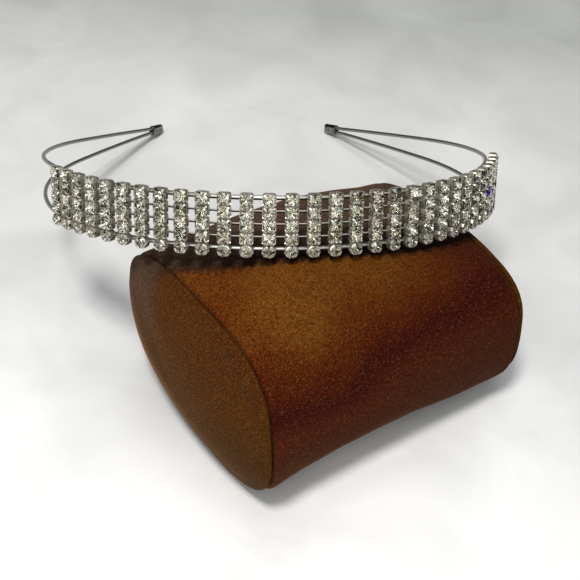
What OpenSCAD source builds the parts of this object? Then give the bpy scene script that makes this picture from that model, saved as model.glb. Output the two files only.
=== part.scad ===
// Rhinestone headband lying over a velvet display cushion.
// Millimetres. X runs to the viewer's right, Y to the back, Z up.
// The origin is the middle of the cushion's flat base, on the surface that it stands on.

/* [Wire frame] */
// Diameter of the two frame wires
wire_d = 1.25; // [1:0.05:1.4]
// Radius of the bend that goes over the head, at the wires' middle
bend_r = 68.7; // [66:0.1:72]
// Angle of that bend on each side of the crown
bend_angle = 120; // [114:1:124]
// Radius of the slack curve of each leg, behind the bend
leg_r = 485; // [350:5:700]
// Length along a wire from the crown to the tip
half_length = 194.5; // [188:0.5:202]
// Length along a wire from the crown to where the wires start to close
spread_length = 78.5; // [72:0.5:92]
// Height of the crown above the surface
crown_height = 68.7; // [68.6:0.1:72]
// Turn of the headband on the cushion, seen from above
turn = 10.3; // [8:0.1:12]

/* [Rhinestone rows] */
// Number of columns of stones
columns = 30; // [27:1:31]
// Number of rows of stones
rows = 5; // [5]
// Distance from column to column along the bend
column_pitch = 5.62; // [5.3:0.01:5.7]
// Distance from row to row
row_pitch = 3.4; // [3.3:0.05:3.45]
// Distance of the run's middle to the right of the crown
run_shift = 7.7; // [0:0.1:8]
// Width of a stone across its flats
stone_w = 2.8; // [2.6:0.05:2.8]
// Height of the claws above the cup's rim
claw_h = 0.35; // [0.2:0.05:0.5]
// Height of a link strip
link_h = 0.6; // [0.4:0.05:0.8]

/* [Wire tips] */
// Length of the sleeve over the two wire ends
tip_length = 5.6; // [4.5:0.1:7]
// Wall of the sleeve
tip_wall = 0.4; // [0.3:0.05:0.5]

/* [Cushion] */
// Length of the roll between its end seams
cushion_length = 90; // [86:1:91]
// Depth of the roll from front to back
cushion_depth = 74.6; // [72:0.1:76]
// Height of the roll at its left end
cushion_height = 54.6; // [51:0.1:54.6]
// Share of its height that the roll loses towards its right end
cushion_taper = 0.19; // [0.19:0.01:0.24]
// Rise of the padding along the middle of the top
cushion_crown = 13; // [4:0.1:13]
// Squareness of the roll's upper half in section, where 2 is an ellipse
cushion_square = 3.4; // [2.8:0.1:3.4]
// Squareness of its lower half
cushion_base_square = 2.6; // [2.2:0.1:3.4]
// Backward lean of the section above its level underside
cushion_lean = 7.2; // [6:0.2:8]
// Turn of the roll's length from X towards Y
cushion_turn = 38.6; // [36:0.1:40]
// How far the stuffing pushes the roll's front foot out near its right end
foot_spread = 2.9; // [0:0.1:3]
// How far the foot of the left end is drawn in along the roll
foot_tuck = 1.7; // [0:0.1:1.8]

/* [Hidden] */

wire_sides = 10;
// Clearance between pieces that the real thing solders or presses together
gap = 0.1;
// Crown of the headband, left of and in front of the cushion's middle
crown_x = -12.1;
crown_y = -9.6;
// Height of the wires' middle at the tips
tip_height = 1.8;

// Distances outwards from the wires' middle line
link_thick = 0.25;
link_out = wire_d / 2 + gap;
plate_out = link_out + link_thick + gap;
plate_thick = 0.35;
cup_depth = 1.2;
rim_out = plate_out + plate_thick + cup_depth;
culet_out = plate_out + plate_thick + gap;
girdle_out = rim_out - 0.1;
table_out = girdle_out + 0.55;
table_w = stone_w * 0.56;
cup_w = row_pitch;
pocket_w = stone_w + 2 * gap;
// A claw fills the middle part of each corner of its cup
claw_w = 0.75;

// The bend's end and the leg beyond it
bend_length = bend_r * bend_angle * PI / 180;
leg_angle = (half_length - bend_length) / leg_r * 180 / PI;
leg_x = (bend_r - leg_r) * sin(bend_angle);
leg_y = bend_r - (bend_r - leg_r) * cos(bend_angle);
tip_back = leg_y - leg_r * cos(bend_angle + leg_angle);
// The headband leans back until both tips rest on the surface
lean = asin((crown_height - tip_height) / tip_back);

// Heights of the wires above and below the headband's middle line
wire_row = row_pitch * (rows - 1) / 2;
tip_row = wire_d / 2 + 0.07;
bend_step = 4.6;
leg_step = 13;

// Middle line of the headband at length s to the right of the crown, flat, with its heading
function heading(s) = abs(s) < bend_length
    ? s / bend_r * 180 / PI
    : sign(s) * (bend_angle + (abs(s) - bend_length) / leg_r * 180 / PI);
function outward(s) = [sin(heading(s)), -cos(heading(s)), 0];
function middle(s) = abs(s) < bend_length
    ? [0, bend_r, 0] + bend_r * outward(s)
    : [sign(s) * leg_x, leg_y, 0] + leg_r * outward(s);

// Half the distance between the wires: parallel behind the stones, closing along the legs
function eased(t) = t < 0.12 ? t * t / 0.24 : t - 0.06;
function closing(s) = let (t = (abs(s) - spread_length) / (half_length - tip_length - spread_length))
    t <= 0 ? 0 : t >= 1 ? 1 : eased(t) / 0.94;
function wire_height(s) = wire_row + (tip_row - wire_row) * closing(s);

// Places along a wire: close together on the bend, further apart on the legs
leg_places = ceil((half_length - bend_length) / leg_step);
bend_places = ceil(bend_length / bend_step);
right_places = [for (i = [0 : bend_places]) i * bend_length / bend_places,
                for (i = [1 : leg_places - 1]) bend_length + i * (half_length - bend_length) / leg_places,
                half_length - tip_length, half_length - 2 * gap - tip_wall];
wire_places = [for (i = [len(right_places) - 1 : -1 : 1]) -right_places[i], each right_places];

// One ring of a wire's tube, square to its run
function wire_ring(s, side) = let (
        ahead = middle(s + 0.5) + [0, 0, side * wire_height(s + 0.5)],
        behind = middle(s - 0.5) + [0, 0, side * wire_height(s - 0.5)],
        run = (ahead - behind) / norm(ahead - behind),
        out = outward(s),
        up = cross(out, run),
        centre = middle(s) + [0, 0, side * wire_height(s)])
    [for (i = [wire_sides : -1 : 1]) let (a = 360 * i / wire_sides)
        centre + wire_d / 2 * (cos(a) * out + sin(a) * up)];

// Triangles that join rings of the same number of points, with both ends closed
function tube_faces(rings, sides) = concat(
    [[for (i = [0 : sides - 1]) i]],
    [for (r = [0 : rings - 2], i = [0 : sides - 1], upper = [0, 1]) let (
        a = r * sides + i,
        b = r * sides + (i + 1) % sides)
        upper == 0 ? [a, a + sides, b] : [b, a + sides, b + sides]],
    [[for (i = [sides - 1 : -1 : 0]) (rings - 1) * sides + i]]);

// Places a piece of the headband, modelled flat with its crown at the origin
module on_cushion() {
    translate([crown_x, crown_y, crown_height])
        rotate([0, 0, turn])
            rotate([-lean, 0, 0])
                children();
}

module wire(side) {
    color("silver")
        on_cushion()
            polyhedron([for (s = wire_places) each wire_ring(s, side)],
                       tube_faces(len(wire_places), wire_sides), convexity = 8);
}

module upper_wire() {
    wire(1);
}

module lower_wire() {
    wire(-1);
}

// Outline round both wire ends, seen along the wires, at a radius round each
module tip_outline(r) {
    for (side = [-1, 1])
        translate([0, side * tip_row])
            circle(r, $fn = 32);
    square([2 * r, 2 * tip_row], center = true);
}

// A closed sleeve over both wire ends
module tip(side) {
    bore_r = wire_d / 2 + gap;
    end = side * half_length;
    color("silver")
        on_cushion()
            translate(middle(end))
                rotate([0, 0, heading(end)])
                    rotate([0, side * -90, 0])
                        rotate([0, 0, 90])
                            difference() {
                                linear_extrude(tip_length)
                                    tip_outline(bore_r + tip_wall);
                                translate([0, 0, tip_wall])
                                    linear_extrude(tip_length)
                                        tip_outline(bore_r);
                            }
}

module left_tip() {
    tip(-1);
}

module right_tip() {
    tip(1);
}

// Angles of the columns round the bend, and heights of the rows
column_angles = [for (i = [0 : columns - 1])
    (run_shift + (i - (columns - 1) / 2) * column_pitch) / bend_r * 180 / PI];
row_heights = [for (i = [0 : rows - 1]) (i - (rows - 1) / 2) * row_pitch];
run_start = column_angles[0];
run_angle = column_angles[columns - 1] - run_start;

// One strip behind each row, which links its cups from the first column to the last
module row_links() {
    color("silver")
        on_cushion()
            translate([0, bend_r, 0])
                for (z = row_heights)
                    translate([0, 0, z])
                        rotate_extrude(start = run_start - 90, angle = run_angle)
                            translate([bend_r + link_out, -link_h / 2])
                                square([link_thick, link_h]);
}

// An octagon of a width across its flats, with flats at the top and sides
module octagon(w) {
    rotate(22.5)
        circle(w / 2 / cos(22.5), $fn = 8);
}

module each_row() {
    for (z = row_heights)
        translate([0, z])
            children();
}

// Extrudes an outline outwards from the band, between two distances from the wires' middle
module extrude_out(from, to) {
    translate([0, -from, 0])
        rotate([90, 0, 0])
            linear_extrude(to - from)
                children();
}

// One column of cups soldered edge to edge, each with four claws at its corners
module cup_column() {
    extrude_out(plate_out, plate_out + plate_thick)
        each_row()
            octagon(cup_w);
    extrude_out(plate_out + plate_thick, rim_out)
        difference() {
            each_row()
                octagon(cup_w);
            each_row()
                octagon(pocket_w);
        }
    extrude_out(rim_out, rim_out + claw_h)
        each_row()
            intersection() {
                difference() {
                    octagon(cup_w);
                    octagon(pocket_w);
                }
                for (a = [45, 135])
                    rotate(a)
                        square([2 * cup_w, claw_w], center = true);
            }
}

module cup_columns() {
    color("silver")
        on_cushion()
            translate([0, bend_r, 0])
                for (a = column_angles)
                    rotate([0, 0, a])
                        translate([0, -bend_r, 0])
                            cup_column();
}

// Points of one stone: the point at its back, its girdle, then the edge of its table
function stone_ring(a, z, w, out) = [for (i = [0 : 7]) let (
        r = w / 2 / cos(22.5),
        x = r * cos(45 * i + 22.5),
        along = [cos(a), sin(a), 0],
        away = [sin(a), -cos(a), 0])
    [0, bend_r, 0] + (bend_r + out) * away + x * along + [0, 0, z + r * sin(45 * i + 22.5)]];
function stone_points(a, z) = [
    [0, bend_r, 0] + (bend_r + culet_out) * [sin(a), -cos(a), 0] + [0, 0, z],
    each stone_ring(a, z, stone_w, girdle_out),
    each stone_ring(a, z, table_w, table_out)];
// Eight facets behind, eight in front and the table, counted from the stone's first point
function stone_faces(first) = [
    for (i = [0 : 7]) [first, first + 1 + i, first + 1 + (i + 1) % 8],
    for (i = [0 : 7], upper = [0, 1]) let (
        a = first + 1 + i,
        b = first + 1 + (i + 1) % 8)
        upper == 0 ? [a, a + 8, b] : [b, a + 8, b + 8],
    [for (i = [7 : -1 : 0]) first + 9 + i]];

module rhinestones() {
    stones = [for (a = column_angles, z = row_heights) stone_points(a, z)];
    points_each = len(stones[0]);
    color("aliceblue")
        on_cushion()
            polyhedron([for (s = stones) each s],
                       [for (i = [0 : len(stones) - 1]) each stone_faces(i * points_each)],
                       convexity = 10);
}

// Sizes of the cushion's parts
soft_gap = 0.3;
panel_thick = 2;
panel_inset = 0.2;
seam_round = 1.4;
base_sink = 1.6;
section_points = 44;
roll_spans = 8;
// Shares of the outline at which a curved end face is closed towards its middle
face_shares = [0.02, 0.5];
// Each ring of an end panel: its distance inwards from the cushion's end, and its share of the outline
PANEL_IN = 0;
PANEL_SHARE = 1;
panel_rings = [for (share = face_shares) [panel_thick, share],
               [panel_thick, 0.965], [1.2, 0.99], [0, 0.98], [-1.4, 0.88], [-2.4, 0.66], [-3, 0.35],
               [-3.2, face_shares[0]]];

// One point of the roll's section, at a share t of its length and an angle a, with its middle at zero
function rounded(c, squareness) = sign(c) * pow(abs(c), 2 / squareness);
function section_point(t, a, inset) = let (
        squareness = sin(a) > 0 ? cushion_square : cushion_base_square,
        across = rounded(cos(a), squareness),
        upward = rounded(sin(a), squareness),
        rise = sin(a) > 0 ? cushion_crown * (1 - pow(2 * t - 1, 2)) * (1 - across * across) : 0,
        lean_here = sin(a) > 0 ? cushion_lean : cushion_lean * (1 - upward * upward),
        u = (cushion_depth / 2 - inset) * across,
        v = (cushion_height / 2 * (1 - cushion_taper * t) - inset) * upward + rise)
    [u * cos(lean_here) - v * sin(lean_here), u * sin(lean_here) + v * cos(lean_here)];
// Depth of the section's lowest point below its middle, less what the flat base takes off
function section_drop(t) = -min([for (i = [0 : 89]) section_point(t, 4 * i, 0)[1]]) - base_sink;
// A soft swelling, one at its middle and fading over its width
function swelling(x, middle, width) = exp(-pow((x - middle) / width, 2));
// How far the foot of the front is pushed out, at a share t of the length, u to the front and z up
function foot_push(t, u, z) = foot_spread * (swelling(t, 0.82, 0.2) + 0.44 * swelling(t, 0.06, 0.15))
    * swelling(z, 5, 12) * max(0, u) / (cushion_depth / 2);
// How far a point of the left end is drawn in, most at the foot and none at the top
function foot_draw(t, z) = foot_tuck * pow(1 - t, 2)
    * pow(max(0, min(1, 1 - z / (cushion_height * (1 - cushion_taper * t)))), 2);
// One ring of the cushion: x along the roll from its left seam, y to the back
function section_ring(x, inset, share = 1) = let (
        t = max(0, min(1, x / cushion_length)),
        drop = section_drop(t))
    [for (i = [section_points : -1 : 1]) let (
            p = share * section_point(t, 360 * i / section_points, inset),
            z = p[1] + drop)
        [x - cushion_length / 2 + foot_draw(t, z), -p[0] - foot_push(t, p[0], z), z]];

// A piece of the cushion, cut off level at the surface that it stands on
module loft(rings) {
    below = 2 * cushion_length;
    difference() {
        rotate([0, 0, cushion_turn])
            polyhedron([for (r = rings) each r], tube_faces(len(rings), section_points), convexity = 4);
        translate([-below / 2, -below / 2, -below])
            cube(below);
    }
}

// The padded roll, with its edges rounded at both end seams
module cushion_roll() {
    from = panel_thick + soft_gap;
    to = cushion_length - from;
    straight = to - from - 2 * seam_round;
    color("saddlebrown")
        loft([for (share = face_shares)
                  section_ring(from, seam_round, share),
              for (a = [0, 30, 60])
                  section_ring(from + seam_round * (1 - cos(a)), seam_round * (1 - sin(a))),
              for (i = [0 : roll_spans])
                  section_ring(from + seam_round + i * straight / roll_spans, 0),
              for (a = [60, 30, 0])
                  section_ring(to - seam_round * (1 - cos(a)), seam_round * (1 - sin(a))),
              for (i = [len(face_shares) - 1 : -1 : 0])
                  section_ring(to, seam_round, face_shares[i])]);
}

module cushion_left_end() {
    color("sienna")
        loft([for (i = [len(panel_rings) - 1 : -1 : 0])
            section_ring(panel_rings[i][PANEL_IN], panel_inset, panel_rings[i][PANEL_SHARE])]);
}

module cushion_right_end() {
    color("sienna")
        loft([for (r = panel_rings)
            section_ring(cushion_length - r[PANEL_IN], panel_inset, r[PANEL_SHARE])]);
}

upper_wire();
lower_wire();
left_tip();
right_tip();
row_links();
cup_columns();
rhinestones();
cushion_roll();
cushion_left_end();
cushion_right_end();
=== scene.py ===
import math
import random
import bpy
from mathutils import Matrix, Vector
from mathutils.bvhtree import BVHTree


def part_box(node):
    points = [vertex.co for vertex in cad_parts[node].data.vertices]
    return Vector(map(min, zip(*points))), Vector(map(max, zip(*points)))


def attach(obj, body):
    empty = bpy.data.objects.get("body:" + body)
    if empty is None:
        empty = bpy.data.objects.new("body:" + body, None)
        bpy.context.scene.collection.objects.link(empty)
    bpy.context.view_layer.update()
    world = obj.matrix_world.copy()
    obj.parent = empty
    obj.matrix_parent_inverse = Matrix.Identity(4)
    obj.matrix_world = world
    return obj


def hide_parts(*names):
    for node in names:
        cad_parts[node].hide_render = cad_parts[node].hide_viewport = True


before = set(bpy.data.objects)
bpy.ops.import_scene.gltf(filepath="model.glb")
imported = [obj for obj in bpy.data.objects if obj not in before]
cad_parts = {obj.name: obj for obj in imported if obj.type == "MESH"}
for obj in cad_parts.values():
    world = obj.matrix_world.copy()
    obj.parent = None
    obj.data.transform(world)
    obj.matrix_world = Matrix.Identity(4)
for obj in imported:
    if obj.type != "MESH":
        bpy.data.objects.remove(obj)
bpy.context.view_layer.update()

mm = 0.001
scene = bpy.context.scene
scene.view_settings.view_transform = "Standard"  # keeps the velvet's brown as warm as it is


# Camera, standing where the photograph was taken from
photoCamera = {
    "place": (-11.17, -223.32, 258.09),  # mm from the middle of the cushion's base
    "down": 45.0,  # degrees below the horizon
    "roll": 6.06,  # degrees, with the right side lower
    "lens": 68.28,
    "sensor": 36.0,
}


def addCamera():
    data = bpy.data.cameras.new("photoCamera")
    data.lens = photoCamera["lens"]
    data.sensor_width = photoCamera["sensor"]
    data.clip_start = 0.01
    data.clip_end = 20.0
    camera = bpy.data.objects.new("photoCamera", data)
    scene.collection.objects.link(camera)
    camera.location = Vector(photoCamera["place"]) * mm
    tilt = Matrix.Rotation(math.radians(90.0 - photoCamera["down"]), 4, "X")
    roll = Matrix.Rotation(math.radians(photoCamera["roll"]), 4, "Z")
    camera.rotation_euler = (tilt @ roll).to_euler()
    scene.camera = camera


addCamera()
print("camera placed")


# Small helpers for modelling and for materials

def selectOnly(piece):
    bpy.ops.object.select_all(action="DESELECT")
    piece.select_set(True)
    bpy.context.view_layer.objects.active = piece


def pickFaces(piece, wanted):
    # Leaves the piece in edit mode with the wanted faces selected
    bpy.ops.object.mode_set(mode="EDIT")
    bpy.ops.mesh.select_mode(type="FACE")
    bpy.ops.mesh.select_all(action="DESELECT")
    bpy.ops.object.mode_set(mode="OBJECT")
    for face in piece.data.polygons:
        face.select = wanted(face.center, face.normal)
    bpy.ops.object.mode_set(mode="EDIT")


def pickUprights(piece):
    # Leaves the piece in edit mode with its upright edges selected
    bpy.ops.object.mode_set(mode="EDIT")
    bpy.ops.mesh.select_mode(type="EDGE")
    bpy.ops.mesh.select_all(action="DESELECT")
    bpy.ops.object.mode_set(mode="OBJECT")
    places = piece.data.vertices
    for edge in piece.data.edges:
        low, high = (places[i].co for i in edge.vertices)
        edge.select = abs(high.z - low.z) > 0.5 * (high - low).length
    bpy.ops.object.mode_set(mode="EDIT")


def extrudeUp(height):
    bpy.ops.mesh.extrude_region_move(TRANSFORM_OT_translate={"value": (0.0, 0.0, height)})


def modifyMesh(piece, kind, **settings):
    selectOnly(piece)
    modifier = piece.modifiers.new(kind.lower(), kind)
    for key, value in settings.items():
        setattr(modifier, key, value)
    bpy.ops.object.modifier_apply(modifier=modifier.name)


def copyOfNode(node, name):
    # A merged copy of a CAD node, to be dressed and to stand in for it
    piece = bpy.data.objects.new(name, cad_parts[node].data.copy())
    piece.data.materials.clear()
    scene.collection.objects.link(piece)
    selectOnly(piece)
    bpy.ops.object.mode_set(mode="EDIT")
    bpy.ops.mesh.select_all(action="SELECT")
    bpy.ops.mesh.remove_doubles(threshold=0.002 * mm)
    bpy.ops.mesh.tris_convert_to_quads()
    bpy.ops.object.mode_set(mode="OBJECT")
    return piece


def joinCopies(copies, name):
    bpy.ops.object.select_all(action="DESELECT")
    for piece in copies:
        piece.select_set(True)
    bpy.context.view_layer.objects.active = copies[0]
    bpy.ops.object.join()
    copies[0].name = name
    return copies[0]


def placedCopy(pattern, place):
    piece = pattern.copy()
    piece.data = pattern.data.copy()
    piece.data.transform(place)
    scene.collection.objects.link(piece)
    return piece


def finishPiece(piece, material, nodes):
    # The cups and the stones bring their own materials, and give none here
    if material:
        piece.data.materials.clear()
        piece.data.materials.append(material)
    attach(piece, "root")
    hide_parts(*nodes)


def hexColour(code):
    # sRGB hex to the linear colour that the shaders take
    parts = [int(code[i:i + 2], 16) / 255.0 for i in (1, 3, 5)]
    linear = [p / 12.92 if p <= 0.04045 else ((p + 0.055) / 1.055) ** 2.4 for p in parts]
    return (*linear, 1.0)


def addNode(tree, kind, settings=None, inputs=None, links=None):
    node = tree.nodes.new(kind)
    for key, value in (settings or {}).items():
        setattr(node, key, value)
    for key, value in (inputs or {}).items():
        node.inputs[key].default_value = value
    for key, source in (links or {}).items():
        tree.links.new(source, node.inputs[key])
    return node


def newMaterial(name):
    material = bpy.data.materials.new(name)
    material.use_nodes = True
    tree = material.node_tree
    return material, tree, tree.nodes["Principled BSDF"]


def fillRamp(node, stops):
    # Each stop is a place from 0 to 1 and an sRGB hex tone
    ramp = node.color_ramp
    while len(ramp.elements) < len(stops):
        ramp.elements.new(0.5)
    for element, (place, tone) in zip(ramp.elements, stops):
        element.position = place
        element.color = hexColour(tone)


# Materials

def makePlate(name, patch, detail, tones, roughness):
    # Plated metal: haze in its polish, in patches so many mm across, changes its tone and its gloss
    material, tree, shader = newMaterial(name)
    coords = addNode(tree, "ShaderNodeTexCoord")
    haze = addNode(tree, "ShaderNodeTexNoise",
                   inputs={"Scale": 1.0 / (patch * mm), "Detail": detail},
                   links={"Vector": coords.outputs["Object"]})
    tone = addNode(tree, "ShaderNodeValToRGB", links={"Fac": haze.outputs["Fac"]})
    fillRamp(tone, tones)
    rough = addNode(tree, "ShaderNodeMapRange",
                    inputs={"To Min": roughness[0], "To Max": roughness[1]},
                    links={"Value": haze.outputs["Fac"]})
    shader.inputs["Metallic"].default_value = 1.0
    tree.links.new(tone.outputs["Color"], shader.inputs["Base Color"])
    tree.links.new(rough.outputs["Result"], shader.inputs["Roughness"])
    return material


strip = {
    # Shares of a row's height and their tones: the face in painted shade, then a painted highlight
    # on the upper edge
    "tones": [(0.0, "#232020"), (0.515, "#2c2827"), (0.535, "#f4f0ea")],
    "roughness": 0.45,
}


def makeStrip():
    # Rolled strip under thin silver plate, with painted shade on its face and a painted highlight
    # along its upper edge
    material, tree, shader = newMaterial("silverPlatedStrip")
    coords = addNode(tree, "ShaderNodeTexCoord")
    up = onBand.to_3x3() @ Vector((0.0, 0.0, 1.0))
    start = Vector(stoneRun["crown"]) - up * (stoneRun["rowPitch"] / 2)
    place = addNode(tree, "ShaderNodeVectorMath", settings={"operation": "SUBTRACT"},
                    inputs={1: start * mm}, links={0: coords.outputs["Object"]})
    height = addNode(tree, "ShaderNodeVectorMath", settings={"operation": "DOT_PRODUCT"},
                     inputs={1: up / (stoneRun["rowPitch"] * mm)},
                     links={0: place.outputs["Vector"]})
    inRow = addNode(tree, "ShaderNodeMath", settings={"operation": "FRACT"},
                    links={0: height.outputs["Value"]})
    # Painted shade on each row's face, and a painted highlight along its upper edge
    tone = addNode(tree, "ShaderNodeValToRGB", links={"Fac": inRow.outputs["Value"]})
    fillRamp(tone, strip["tones"])
    shader.inputs["Metallic"].default_value = 1.0
    shader.inputs["Roughness"].default_value = strip["roughness"]
    tree.links.new(tone.outputs["Color"], shader.inputs["Base Color"])
    return material


def makeCrystal():
    # Lead crystal, pressed and polished: clear, with a high index that gives the facets their fire
    material, tree, shader = newMaterial("leadCrystal")
    shader.inputs["Base Color"].default_value = hexColour("#fdfcf4")
    shader.inputs["Roughness"].default_value = 0.0
    shader.inputs["IOR"].default_value = 1.58
    shader.inputs["Transmission Weight"].default_value = 1.0
    return material


def makeFoil(name, tones):
    # Silver foil pressed on the stone's back: it mirrors the room, and each facet carries a painted
    # reflection in a tone drawn at random
    material, tree, shader = newMaterial(name)
    facet = addNode(tree, "ShaderNodeAttribute", settings={"attribute_name": "paintedFacetReflection"})
    tone = addNode(tree, "ShaderNodeValToRGB", links={"Fac": facet.outputs["Fac"]})
    tone.color_ramp.interpolation = "CONSTANT"
    fillRamp(tone, tones)
    shader.inputs["Metallic"].default_value = 1.0
    shader.inputs["Roughness"].default_value = 0.12
    tree.links.new(tone.outputs["Color"], shader.inputs["Base Color"])
    return material


velvetLook = {
    "patch": 26.0,  # mm across the patches that move the painted light and shade up or down
    "patchShift": 0.2,  # how far that moves the colour up or down the height
    "height": 62.0,  # mm, over which the colour changes
    "half": 48.0,  # mm, half of the roll's length
    "tuft": 0.27,  # mm, coarser than the real tufts so that the pile shows
    "tuftDepth": 0.2,  # mm
    "tuftBump": 0.5,
    "grain": (0.4, 1.6),  # the darkest and the palest tufts, as shares of the colour
    "fleck": "#a07a50",  # tips of the pile that catch the light
    "fleckFrom": 0.86,  # share of the tufts that have none
    "fleckMost": 0.2,  # how far the palest tip turns to that tone
    "shadowedShare": 0.05,  # what the painted shadow leaves of the colour right under the headband
    "behind": "#46352c",  # painted sheen and shade behind the headband
    "sheen": 0.5,
    "sheenRoughness": 0.17,
    "sheenTint": "#b38862",
}


def makeVelvet(name, paintedLightBands, farShadeShare):
    # Woven short-pile velvet: tufts stand on end, so it is dark head on, paler at its edges, and
    # grainy. Its colour holds painted light and shade: from the top to the foot, towards the far
    # end, under the headband and behind it.
    material, tree, shader = newMaterial(name)
    coords = addNode(tree, "ShaderNodeTexCoord")
    bandPatches = addNode(tree, "ShaderNodeTexNoise",
                  inputs={"Scale": 1.0 / (velvetLook["patch"] * mm), "Detail": 2.0,
                          "Roughness": 0.5},
                  links={"Vector": coords.outputs["Object"]})
    shift = addNode(tree, "ShaderNodeMapRange",
                    inputs={"To Min": -velvetLook["patchShift"],
                            "To Max": velvetLook["patchShift"]},
                    links={"Value": bandPatches.outputs["Fac"]})
    place = addNode(tree, "ShaderNodeSeparateXYZ", links={"Vector": coords.outputs["Object"]})
    height = addNode(tree, "ShaderNodeMapRange", inputs={"From Max": velvetLook["height"] * mm},
                     links={"Value": place.outputs["Z"]})
    level = addNode(tree, "ShaderNodeMath", settings={"operation": "ADD"},
                    links={0: height.outputs["Result"], 1: shift.outputs["Result"]})
    # Painted light and shade, from the foot to the top
    paintedLightRamp = addNode(tree, "ShaderNodeValToRGB", links={"Fac": level.outputs["Value"]})
    fillRamp(paintedLightRamp, paintedLightBands)
    turn = math.radians(cushion["turn"])
    along = addNode(tree, "ShaderNodeVectorMath", settings={"operation": "DOT_PRODUCT"},
                    inputs={1: (math.cos(turn), math.sin(turn), 0.0)},
                    links={0: coords.outputs["Object"]})
    # Painted shade: darker towards the far end of the roll
    farShade = addNode(tree, "ShaderNodeMapRange",
                  inputs={"From Min": -velvetLook["half"] * mm,
                          "From Max": velvetLook["half"] * mm,
                          "To Min": 1.0, "To Max": farShadeShare},
                  links={"Value": along.outputs["Value"]})
    tufts = addNode(tree, "ShaderNodeTexVoronoi", inputs={"Scale": 1.0 / (velvetLook["tuft"] * mm)},
                    links={"Vector": coords.outputs["Object"]})
    chance = addNode(tree, "ShaderNodeSeparateXYZ", links={"Vector": tufts.outputs["Color"]})
    darkest, palest = velvetLook["grain"]
    grain = addNode(tree, "ShaderNodeMapRange", inputs={"To Min": darkest, "To Max": palest},
                    links={"Value": chance.outputs["X"]})
    bandShadow = addNode(tree, "ShaderNodeAttribute", settings={"attribute_name": "bandShadow"})
    # Painted shadow under and around the headband
    shadowedShare = addNode(tree, "ShaderNodeMapRange",
                      inputs={"To Min": 1.0, "To Max": velvetLook["shadowedShare"]},
                      links={"Value": bandShadow.outputs["Fac"]})
    shade = addNode(tree, "ShaderNodeMath", settings={"operation": "MULTIPLY"},
                    links={0: farShade.outputs["Result"], 1: shadowedShare.outputs["Result"]})
    both = addNode(tree, "ShaderNodeMath", settings={"operation": "MULTIPLY"},
                   links={0: shade.outputs["Value"], 1: grain.outputs["Result"]})
    # Behind the headband the colour turns greyer: painted sheen and shade
    behind = addNode(tree, "ShaderNodeAttribute", settings={"attribute_name": "behind"})
    paintedTone = addNode(tree, "ShaderNodeMix", settings={"data_type": "RGBA"},
                     links={"Factor": behind.outputs["Fac"]})
    tree.links.new(paintedLightRamp.outputs["Color"], paintedTone.inputs[6])
    paintedTone.inputs[7].default_value = hexColour(velvetLook["behind"])
    colour = addNode(tree, "ShaderNodeVectorMath", settings={"operation": "SCALE"},
                     links={0: paintedTone.outputs[2], "Scale": both.outputs["Value"]})
    flecks = addNode(tree, "ShaderNodeMapRange",
                     inputs={"From Min": velvetLook["fleckFrom"], "From Max": 1.0,
                             "To Min": 0.0, "To Max": velvetLook["fleckMost"]},
                     links={"Value": chance.outputs["Y"]})
    fleckShare = addNode(tree, "ShaderNodeMath", settings={"operation": "MULTIPLY"},
                         links={0: flecks.outputs["Result"], 1: shade.outputs["Value"]})
    tipped = addNode(tree, "ShaderNodeMix", settings={"data_type": "RGBA"},
                     links={"Factor": fleckShare.outputs["Value"]})
    tree.links.new(colour.outputs["Vector"], tipped.inputs[6])
    tipped.inputs[7].default_value = hexColour(velvetLook["fleck"])
    bump = addNode(tree, "ShaderNodeBump",
                   inputs={"Strength": velvetLook["tuftBump"],
                           "Distance": velvetLook["tuftDepth"] * mm},
                   links={"Height": chance.outputs["X"]})
    tree.links.new(tipped.outputs[2], shader.inputs["Base Color"])
    tree.links.new(bump.outputs["Normal"], shader.inputs["Normal"])
    shader.inputs["Roughness"].default_value = 0.95
    shader.inputs["Specular IOR Level"].default_value = 0.08
    sheen = addNode(tree, "ShaderNodeMath", settings={"operation": "MULTIPLY"},
                    inputs={1: velvetLook["sheen"]}, links={0: shade.outputs["Value"]})
    tree.links.new(sheen.outputs["Value"], shader.inputs["Sheen Weight"])
    shader.inputs["Sheen Roughness"].default_value = velvetLook["sheenRoughness"]
    shader.inputs["Sheen Tint"].default_value = hexColour(velvetLook["sheenTint"])
    return material


clothLook = {
    "span": (-0.09, 0.26),  # m, from front to back, over which painted shade turns it greyer
    "tones": [(0.0, "#e9eaeb"), (0.3, "#c6c8ca"), (0.64, "#c2c3c3"), (0.85, "#a2a5a5")],
    "fold": 38.0,  # mm from one soft fold to the next
    "wash": (0.89, 1.07),  # painted shade in the folds and painted light on them, as shares of the colour
    "foldDepth": 4.0,  # mm
    "foldBump": 0.35,
}


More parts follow.
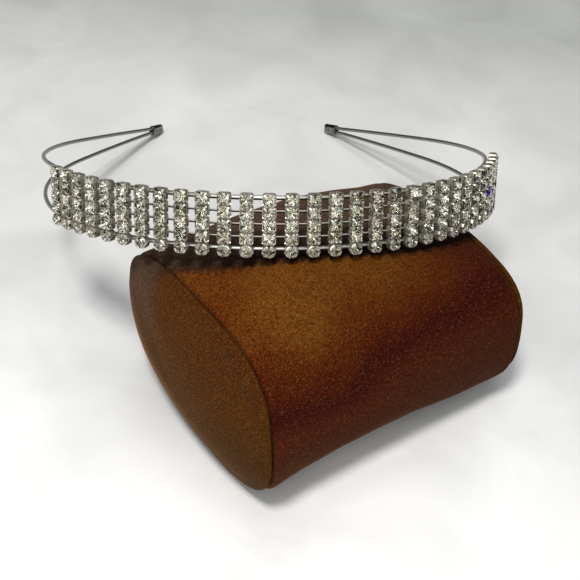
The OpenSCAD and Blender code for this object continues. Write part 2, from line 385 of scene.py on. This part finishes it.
def makeTableCloth():
    # Bleached cotton cloth, ironed nearly flat, with painted shade that turns it greyer towards the
    # back of the table and darker in its folds
    material, tree, shader = newMaterial("bleachedCotton")
    coords = addNode(tree, "ShaderNodeTexCoord")
    place = addNode(tree, "ShaderNodeSeparateXYZ", links={"Vector": coords.outputs["Object"]})
    front, back = clothLook["span"]
    away = addNode(tree, "ShaderNodeMapRange", inputs={"From Min": front, "From Max": back},
                   links={"Value": place.outputs["Y"]})
    # Painted shade, greyer towards the back
    tone = addNode(tree, "ShaderNodeValToRGB", links={"Fac": away.outputs["Result"]})
    fillRamp(tone, clothLook["tones"])
    folds = addNode(tree, "ShaderNodeTexNoise",
                    inputs={"Scale": 1.0 / (clothLook["fold"] * mm), "Detail": 3.0,
                            "Distortion": 0.5},
                    links={"Vector": coords.outputs["Object"]})
    darkest, palest = clothLook["wash"]
    # Painted shade in the folds, painted light on them
    wash = addNode(tree, "ShaderNodeMapRange",
                   inputs={"From Min": 0.3, "From Max": 0.7, "To Min": darkest, "To Max": palest},
                   links={"Value": folds.outputs["Fac"]})
    colour = addNode(tree, "ShaderNodeVectorMath", settings={"operation": "SCALE"},
                     links={0: tone.outputs["Color"], "Scale": wash.outputs["Result"]})
    bump = addNode(tree, "ShaderNodeBump",
                   inputs={"Strength": clothLook["foldBump"],
                           "Distance": clothLook["foldDepth"] * mm},
                   links={"Height": folds.outputs["Fac"]})
    tree.links.new(colour.outputs["Vector"], shader.inputs["Base Color"])
    tree.links.new(bump.outputs["Normal"], shader.inputs["Normal"])
    shader.inputs["Roughness"].default_value = 0.85
    return material


# Painted reflections that the foiled stones' facets carry, from the darkest to the brightest
paintedReflectionTones = [(0.0, "#3b3932"), (0.13, "#96927f"), (0.3, "#d2ceba"), (0.48, "#f6f3e8"),
             (0.68, "#ffffff")]
# A painted violet flash for one stone
paintedVioletFlashTones = [(0.0, "#3a1ae6"), (0.5, "#5234ff"), (0.85, "#c4b6ff")]

# Spring steel wire under rhodium plate: drawn smooth, so it mirrors the room in a dark grey
wireMetal = makePlate("rhodiumPlatedWire", patch=0.9, detail=3.0,
                      tones=[(0.3, "#8f918d"), (0.7, "#9a9c98")], roughness=(0.34, 0.4))

# Stamped brass under silver plate, dulled in patches of haze; the cups' outer sides are rougher,
# and darker as painted shade between the columns
cupMetal = makePlate("silverPlatedCup", patch=1.3, detail=4.0,
                     tones=[(0.32, "#b9b7ab"), (0.6, "#e9e8e2")], roughness=(0.28, 0.1))
cupSideShaded = makePlate("silverPlatedCupSideShaded", patch=1.3, detail=4.0,
                    tones=[(0.32, "#8d887c"), (0.6, "#dcd8cc")], roughness=(0.55, 0.4))
tipMetal = makePlate("silverPlatedTip", patch=1.3, detail=4.0,
                     tones=[(0.32, "#464540"), (0.6, "#8a8983")], roughness=(0.28, 0.1))
crystal = makeCrystal()
foil = makeFoil("silverFoil", paintedReflectionTones)
paintedVioletFlash = makeFoil("violetFlash", paintedVioletFlashTones)
print("metals and glass made")


# Wire frame
wireFrame = {
    "roundOut": 0.03,  # mm that the wires grow before they are rounded, which thins them again
}


def dressWire(node, name):
    piece = copyOfNode(node, name)
    bpy.ops.object.mode_set(mode="EDIT")
    bpy.ops.mesh.select_all(action="SELECT")
    bpy.ops.transform.shrink_fatten(value=wireFrame["roundOut"] * mm)
    bpy.ops.object.mode_set(mode="OBJECT")
    modifyMesh(piece, "SUBSURF", levels=1, render_levels=1)
    bpy.ops.object.shade_smooth()
    finishPiece(piece, wireMetal, [node])


dressWire("upper_wire", "upperWire")
dressWire("lower_wire", "lowerWire")
print("wires dressed")


# Sleeves on the wires' ends
tipSleeve = {
    "round": 0.28,  # mm, of its edges
    "steps": 3,
    "sharp": 50.0,  # degrees from which an edge is rounded
    "smooth": 40.0,  # degrees up to which faces shade as one
}


def dressTip(node, name):
    piece = copyOfNode(node, name)
    modifyMesh(piece, "BEVEL", width=tipSleeve["round"] * mm, segments=tipSleeve["steps"],
               limit_method="ANGLE", angle_limit=math.radians(tipSleeve["sharp"]),
               use_clamp_overlap=True)
    bpy.ops.object.shade_smooth_by_angle(angle=math.radians(tipSleeve["smooth"]))
    finishPiece(piece, tipMetal, [node])


dressTip("left_tip", "leftTip")
dressTip("right_tip", "rightTip")
print("tips dressed")


# Where each cup of the decorated run sits, in the same figures as the CAD model
stoneRun = {
    "crown": (-12.1, -9.6, 68.7),  # mm, the wires' middle at the front
    "turn": 10.3,  # degrees that the headband is turned to the left
    "lean": 27.37,  # degrees that it leans back
    "bendRadius": 68.7,  # mm, of the wires' bend
    "columns": 30,
    "rows": 5,
    "columnPitch": 5.62,  # mm along the bend
    "rowPitch": 3.4,  # mm
    "shift": 7.7,  # mm from the crown to the run's middle
    "backOut": 1.075,  # mm from the wires' middle out to the cups' backs
    "fullness": 0.28,  # how much wider the cups are at right angles to the front
}

# The headband's own frame: its crown at the origin, its plane level
onBand = (Matrix.Translation(Vector(stoneRun["crown"]) * mm)
          @ Matrix.Rotation(math.radians(stoneRun["turn"]), 4, "Z")
          @ Matrix.Rotation(math.radians(-stoneRun["lean"]), 4, "X"))


def cupPlace(column, row):
    run = stoneRun
    along = run["shift"] + (column - (run["columns"] - 1) / 2) * run["columnPitch"]
    up = (row - (run["rows"] - 1) / 2) * run["rowPitch"]
    bend = Vector((0.0, run["bendRadius"] * mm, 0.0))
    onBend = Matrix.Translation(bend) @ Matrix.Rotation(along / run["bendRadius"], 4, "Z")
    out = run["bendRadius"] + run["backOut"]
    outAndUp = Matrix.Translation(Vector((0.0, -out * mm, up * mm)))
    widened = 1.0 + run["fullness"] * math.sin(along / run["bendRadius"]) ** 2
    return (onBand @ onBend @ outAndUp @ Matrix.Scale(widened, 4, (1.0, 0.0, 0.0))
            @ Matrix.Rotation(math.radians(90.0), 4, "X"))


# One cup: stamped, with rounded corners and four claws, its back at zero and its mouth upwards
cup = {
    "width": 3.42,  # mm, at the mouth
    "spread": 1.05,  # how much wider than high the mouth is
    "corner": 0.45,  # mm, radius of the corners
    "lastCorner": 1.25,  # mm, of the lowest cup in a column, which ends it round
    "cornerSteps": 2,
    "plate": 0.35,  # mm, thickness of the back
    "taper": 0.94,  # how much narrower the back is than the mouth
    "rim": 1.65,  # mm from the back to the rim
    "wall": 0.22,  # mm
    "pocket": 1.2,  # mm, depth that the stone sits in
    "clawSpan": 17.0,  # degrees of the rim that a claw takes up, on each side of its corner
    "clawRise": 0.5,  # mm that a claw stands up before it curls
    "clawLean": 0.9,  # how much nearer to the middle it is there
    "clawCurl": 0.35,  # mm that it rises further
    "clawTip": 0.56,  # how much nearer to the middle its tip is than its bend
    "smooth": 38.0,  # degrees up to which faces shade as one
}


def modelCup(corner):
    bpy.ops.object.select_all(action="DESELECT")
    bpy.ops.mesh.primitive_cube_add(size=1.0, location=(0.0, 0.0, cup["plate"] * mm / 2))
    piece = bpy.context.object
    back = cup["width"] * cup["taper"]
    piece.scale = (back * mm, back * mm, cup["plate"] * mm)
    bpy.ops.object.transform_apply(location=True, rotation=True, scale=True)
    pickUprights(piece)
    bpy.ops.mesh.bevel(offset=corner * cup["taper"] * mm, segments=cup["cornerSteps"])
    bpy.ops.object.mode_set(mode="OBJECT")
    pickFaces(piece, lambda centre, normal: normal.z > 0.9)
    extrudeUp((cup["rim"] - cup["plate"]) * mm)
    grow = 1.0 / cup["taper"]
    bpy.ops.transform.resize(value=(grow * cup["spread"], grow, 1.0),
                             center_override=(0.0, 0.0, 0.0))
    bpy.ops.mesh.inset(thickness=cup["wall"] * mm)
    extrudeUp(-cup["pocket"] * mm)
    bpy.ops.object.mode_set(mode="OBJECT")
    piece.data.materials.append(cupMetal)
    piece.data.materials.append(cupSideShaded)
    # Outer side faces take the rougher plate, darker as painted shade between the columns
    for face in piece.data.polygons:
        onOutside = face.normal.xy.dot(face.center.xy) > 0.0 and abs(face.normal.z) < 0.5
        face.material_index = 1 if onOutside else 0

    # Claws at the four corners, leaning in and then curling over the stone
    def atCorner(centre, normal):
        angle = math.degrees(math.atan2(centre.y, centre.x)) % 90.0
        onRim = normal.z > 0.9 and centre.z > (cup["rim"] - 0.05) * mm
        return onRim and abs(angle - 45.0) < cup["clawSpan"]

    pickFaces(piece, atCorner)
    top = cup["rim"]
    for rise, lean in ((cup["clawRise"], cup["clawLean"]), (cup["clawCurl"], cup["clawTip"])):
        top += rise
        extrudeUp(rise * mm)
        bpy.ops.transform.resize(value=(lean, lean, 1.0), center_override=(0.0, 0.0, top * mm))
    bpy.ops.object.mode_set(mode="OBJECT")
    bpy.ops.object.shade_smooth_by_angle(angle=math.radians(cup["smooth"]))
    return piece


def dressCups():
    last, upper = modelCup(cup["lastCorner"]), modelCup(cup["corner"])
    copies = [placedCopy(upper if row else last, cupPlace(column, row))
              for column in range(stoneRun["columns"]) for row in range(stoneRun["rows"])]
    bpy.data.objects.remove(last)
    bpy.data.objects.remove(upper)
    piece = joinCopies(copies, "cupColumns")
    finishPiece(piece, None, ["cup_columns"])


dressCups()
print("cups set out")


# One stone: a brilliant with a table, a faceted crown and a foiled back, its girdle in the cup
stone = {
    "facets": 8,  # around the stone
    "radius": 1.72,  # mm
    "girdle": 1.95,  # mm above the cup's back
    "crownRise": 0.75,  # mm from the girdle to the table
    "tableRadius": 0.95,  # mm
    "crownPeak": 0.06,  # mm that a crown facet rises in its middle
    "culet": 0.6,  # mm from the cup's back to the stone's point
    "foilThick": 0.03,  # mm
    "foilInset": 0.05,  # mm from the glass to the foil
    "foilPeak": 0.09,  # mm that a foil facet rises in its middle
    "tilt": 4.0,  # degrees at most that a stone sits askew
    "seed": 31,
    "violet": (26, 2),  # column and row of the stone with a painted violet flash
}


def modelCrystal():
    bpy.ops.object.select_all(action="DESELECT")
    bpy.ops.mesh.primitive_cone_add(
        vertices=stone["facets"], radius1=stone["radius"] * mm, radius2=stone["tableRadius"] * mm,
        depth=stone["crownRise"] * mm,
        location=(0.0, 0.0, (stone["girdle"] + stone["crownRise"] / 2) * mm))
    piece = bpy.context.object
    bpy.ops.object.transform_apply(location=True, rotation=True, scale=True)
    pickFaces(piece, lambda centre, normal: normal.z < -0.9)
    bpy.ops.mesh.poke(offset=(stone["girdle"] - stone["culet"]) * mm)
    pickFaces(piece, lambda centre, normal: 0.1 < normal.z < 0.95)
    bpy.ops.mesh.poke(offset=stone["crownPeak"] * mm)
    bpy.ops.object.mode_set(mode="OBJECT")
    piece.data.materials.append(crystal)
    return piece


def modelFoil():
    # A thin cone of foil just inside the pavilion, its facets pressed in
    inner = stone["radius"] - stone["foilInset"]
    top = stone["girdle"] - stone["foilInset"]
    bpy.ops.object.select_all(action="DESELECT")
    bpy.ops.mesh.primitive_cylinder_add(
        vertices=stone["facets"], radius=inner * mm, depth=stone["foilThick"] * mm,
        location=(0.0, 0.0, top * mm))
    piece = bpy.context.object
    bpy.ops.object.transform_apply(location=True, rotation=True, scale=True)
    deep = (top - stone["culet"] - 2 * stone["foilInset"]) * mm
    pickFaces(piece, lambda centre, normal: normal.z < -0.9)
    bpy.ops.mesh.poke(offset=deep)
    pickFaces(piece, lambda centre, normal: normal.z > 0.9)
    bpy.ops.mesh.poke(offset=-deep)
    pickFaces(piece, lambda centre, normal: normal.z > 0.2)
    bpy.ops.mesh.poke(offset=stone["foilPeak"] * mm)
    bpy.ops.object.mode_set(mode="OBJECT")
    piece.data.materials.append(foil)
    return piece


def dressStones():
    draw = random.Random(stone["seed"])
    clear, back = modelCrystal(), modelFoil()
    for pattern in (back, clear):  # both, because they are joined
        pattern.data.attributes.new("paintedFacetReflection", "FLOAT", "FACE")
    copies = []
    for column in range(stoneRun["columns"]):
        for row in range(stoneRun["rows"]):
            spun = Matrix.Rotation(draw.uniform(0.0, math.tau), 4, "Z")
            tilt = math.radians(draw.uniform(-1.0, 1.0) * stone["tilt"])
            askew = spun @ Matrix.Rotation(tilt, 4, "X")
            place = cupPlace(column, row) @ askew
            copies.append(placedCopy(clear, place))
            foiled = placedCopy(back, place)
            # A random painted reflection for each facet of the foil
            for value in foiled.data.attributes["paintedFacetReflection"].data:
                value.value = draw.random()
            # The one stone whose foil carries the painted violet flash
            if (column, row) == stone["violet"]:
                foiled.data.materials[0] = paintedVioletFlash
            copies.append(foiled)
    bpy.data.objects.remove(clear)
    bpy.data.objects.remove(back)
    piece = joinCopies(copies, "cutStones")
    finishPiece(piece, None, ["rhinestones"])


dressStones()
print("stones set")

# The link strips keep their CAD shape
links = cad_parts["row_links"]
links.data.materials.clear()
links.data.materials.append(makeStrip())
print("link strips plated")


# Cushion, stuffed and sewn: its filling blows its cover out, from just inside its CAD solid
cushion = {
    "length": 90.0,  # mm between the lines on which its panels' rims turn outwards
    "depth": 74.6,  # mm
    "height": 50.0,  # mm, of the end panels
    "turn": 38.6,  # degrees that its length is turned from left to right towards the back
    "levels": 2,  # how finely the cloth is divided before it is blown out
    "rollPressure": 4.0,
    "endPressure": 2.0,
    "rollHem": 3.5,  # mm inside that line from which the roll's cover is held still
    "endHem": 0.4,  # mm outside it up to which a panel's cover is
    "shrink": 0.8,  # mm that the cover starts inside its solid, away from the seams
    "easing": 9.0,  # mm from a seam over which that sets in
    "stretch": 1.0,  # mm at most that a point moves
    "frames": 16,
    "shadeFront": 0.5,  # mm that the painted shadow reaches in front of the headband
    "shadeBack": 7.5,  # mm behind it
    "backFade": (-1.0, 4.0),  # mm behind the headband's bend over which the painted sheen and shade set in mm from the headband's plane over which they set in, upwards
    "backHeight": (-45.0, -12.0),  # mm from the headband's plane over which it turns, upwards
    "panelDome": 3.5,  # mm that the stuffing pushes the middle of an end panel out
    "panelRise": 1.02,  # how much higher the stuffing makes a panel
}

# How the cover gives while it is blown out, under the names of Blender's own settings
coverCloth = {
    "mass": 0.001,
    "tension_stiffness": 6.0,
    "compression_stiffness": 6.0,
    "bending_stiffness": 0.05,
}

# Painted light and shade of the pile from the foot to the top, and the share of the colour left at
# the far end, in painted shade
rollCover = {
    "paintedLightBands": [(0.1, "#4a2c0c"), (0.4, "#401804"), (0.52, "#411602"), (0.6, "#3a0c00"),
              (0.67, "#320400"), (0.745, "#3f1200"), (0.83, "#491e01"), (0.9, "#502803"),
              (0.96, "#573107")],
    "farShadeShare": 0.72,
}
endCover = {
    "paintedLightBands": [(0.1, "#432d17"), (0.35, "#412504"), (0.6, "#432402"), (0.85, "#3f1f03")],
    "farShadeShare": 0.8,
}

rollVelvet = makeVelvet("brownVelvet", **rollCover)
endVelvet = makeVelvet("brownVelvetEnd", **endCover)
print("velvet made")


def alongRoll(place):
    angle = math.radians(cushion["turn"])
    return (place.x * math.cos(angle) + place.y * math.sin(angle)) / mm


# What the pile lies under, and the way back into the headband's own frame
overPile = [BVHTree.FromPolygons([v.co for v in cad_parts[node].data.vertices],
                                 [p.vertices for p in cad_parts[node].data.polygons])
            for node in ("cup_columns", "lower_wire", "row_links")]
flatten = onBand.inverted()


def smoothStep(value, low, high):
    share = min(1.0, max(0.0, (value - low) / (high - low)))
    return share * share * (3.0 - 2.0 * share)


def markBandShadow(piece):
    # Marks the pile for painted shadow where the headband lies on it or keeps the light from it,
    # and the pile behind it for painted sheen and shade
    piece.data.attributes.new("bandShadow", "FLOAT", "POINT")
    piece.data.attributes.new("behind", "FLOAT", "POINT")
    marks = piece.data.attributes["bandShadow"].data
    backs = piece.data.attributes["behind"].data
    radius = stoneRun["bendRadius"]
    for vertex, mark, back in zip(piece.data.vertices, marks, backs):
        place = (flatten @ vertex.co) / mm
        inside = radius - math.hypot(place.x, place.y - radius)
        upper = smoothStep(place.z, *cushion["backHeight"])
        back.value = smoothStep(inside, *cushion["backFade"]) * upper
        away = min(tree.find_nearest(vertex.co)[3] for tree in overPile)
        reach = cushion["shadeBack" if inside > 0.0 else "shadeFront"] * mm
        mark.value = math.exp(-(away / reach) ** 2)


def puffUp(piece, pressure, fromSeam):
    # fromSeam gives how far a place is from its seam, in mm, and the seam itself stays still
    modifyMesh(piece, "SUBSURF", levels=cushion["levels"], render_levels=cushion["levels"])
    sewn = piece.vertex_groups.new(name="sewn")
    start = []
    for vertex in piece.data.vertices:
        ease = min(1.0, max(0.0, fromSeam(vertex.co) / cushion["easing"]))
        start.append(vertex.co - vertex.normal * cushion["shrink"] * ease * mm)
        sewn.add([vertex.index], 1.0 if ease == 0.0 else 0.0, "REPLACE")
    for vertex, inner in zip(piece.data.vertices, start):
        vertex.co = inner
    cloth = piece.modifiers.new("stuffing", "CLOTH")
    cloth.settings.vertex_group_mass = sewn.name
    cloth.settings.use_pressure = True
    cloth.settings.uniform_pressure_force = pressure
    for key, value in coverCloth.items():
        setattr(cloth.settings, key, value)
    cloth.settings.effector_weights.gravity = 0.0
    for step in range(1, cushion["frames"] + 1):
        scene.frame_set(step)
    selectOnly(piece)
    bpy.ops.object.modifier_apply(modifier=cloth.name)
    scene.frame_set(1)
    # Caps how far each point moved, and keeps it above the table
    most = cushion["stretch"] * mm
    for vertex, home in zip(piece.data.vertices, start):
        move = vertex.co - home
        if move.length > most:
            vertex.co = home + move.normalized() * most
        vertex.co.z = max(vertex.co.z, 0.0)
    piece.vertex_groups.clear()
    modifyMesh(piece, "SUBSURF", levels=1, render_levels=1)
    bpy.ops.object.shade_smooth()
    markBandShadow(piece)


def dressRoll():
    piece = copyOfNode("cushion_roll", "cushionRoll")
    hem = cushion["length"] / 2 - cushion["rollHem"]
    puffUp(piece, cushion["rollPressure"], lambda place: hem - abs(alongRoll(place)))
    finishPiece(piece, rollVelvet, ["cushion_roll"])


def dressEnd(node, name, side):
    piece = copyOfNode(node, name)
    hem = cushion["length"] / 2 + cushion["endHem"]
    puffUp(piece, cushion["endPressure"], lambda place: abs(alongRoll(place)) - hem)
    low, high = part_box(node)
    middle = (Vector(low) + Vector(high)) / 2
    turn = math.radians(cushion["turn"])
    outwards = Vector((math.cos(turn), math.sin(turn), 0.0)) * side
    across = Vector((-math.sin(turn), math.cos(turn), 0.0))
    for vertex in piece.data.vertices:
        vertex.co.z *= cushion["panelRise"]
        if abs(alongRoll(vertex.co)) > cushion["length"] / 2:
            off = vertex.co - middle
            share = math.hypot(off.dot(across) / (cushion["depth"] / 2 * mm),
                               off.z / (cushion["height"] / 2 * mm))
            vertex.co += outwards * cushion["panelDome"] * max(0.0, 1.0 - share ** 2) * mm
    finishPiece(piece, endVelvet, [node])


dressRoll()
dressEnd("cushion_left_end", "cushionLeftEnd", -1)
dressEnd("cushion_right_end", "cushionRightEnd", 1)
print("cushion stuffed")


# Floor and lights
studio = {
    "floor": 4.0,  # m across
    # Places and sizes in metres, powers in watts
    "softboxes": {
        "keySoftbox": {"place": (-0.14, -0.28, 0.87), "size": (0.16, 0.16), "power": 7.0,
                       "colour": "#fffbf4"},
        "topSoftbox": {"place": (-0.1, 0.3, 0.95), "size": (0.35, 0.35), "power": 1.8,
                       "colour": "#fafbff"},
    },
}


def addFloor():
    bpy.ops.object.select_all(action="DESELECT")
    bpy.ops.mesh.primitive_plane_add(size=studio["floor"])
    floor = bpy.context.object
    floor.name = "tableTop"
    floor.data.materials.append(makeTableCloth())


def addSoftbox(name, place, size, power, colour):
    data = bpy.data.lights.new(name, "AREA")
    data.shape = "RECTANGLE"
    data.size, data.size_y = size
    data.energy = power
    data.color = hexColour(colour)[:3]
    lamp = bpy.data.objects.new(name, data)
    scene.collection.objects.link(lamp)
    lamp.location = place
    lamp.rotation_euler = (-Vector(place)).to_track_quat("-Z", "Y").to_euler()


addFloor()
for name, look in studio["softboxes"].items():
    addSoftbox(name, **look)


room = {
    "window": (0.0, -0.55, 0.83),  # the way to the middle of the pale window
    "tones": [(0.0, "#3a3936"), (0.5, "#42413c"), (0.72, "#9c9b97"), (0.84, "#fdfdfb")],
    "clutter": 5.0,  # how finely what stands about in the room is broken up
    "contrast": (0.4, 2.1),  # its darkest and its brightest, as shares of the tone
}


def makeRoom():
    # The room that the metal and the stones mirror: a pale window above the front, and a dim back
    world = bpy.data.worlds.new("paleRoom")
    world.use_nodes = True
    tree = world.node_tree
    coords = addNode(tree, "ShaderNodeTexCoord")
    facing = addNode(tree, "ShaderNodeVectorMath", settings={"operation": "DOT_PRODUCT"},
                     inputs={1: room["window"]}, links={0: coords.outputs["Generated"]})
    light = addNode(tree, "ShaderNodeValToRGB", links={"Fac": facing.outputs["Value"]})
    fillRamp(light, room["tones"])
    clutter = addNode(tree, "ShaderNodeTexNoise",
                      inputs={"Scale": room["clutter"], "Detail": 2.0, "Roughness": 0.6},
                      links={"Vector": coords.outputs["Generated"]})
    darkest, brightest = room["contrast"]
    contrast = addNode(tree, "ShaderNodeMapRange",
                       inputs={"From Min": 0.4, "From Max": 0.6,
                               "To Min": darkest, "To Max": brightest},
                       links={"Value": clutter.outputs["Fac"]})
    background = tree.nodes["Background"]
    tree.links.new(light.outputs["Color"], background.inputs["Color"])
    tree.links.new(contrast.outputs["Result"], background.inputs["Strength"])
    return world


scene.world = makeRoom()
print("floor and lights placed")
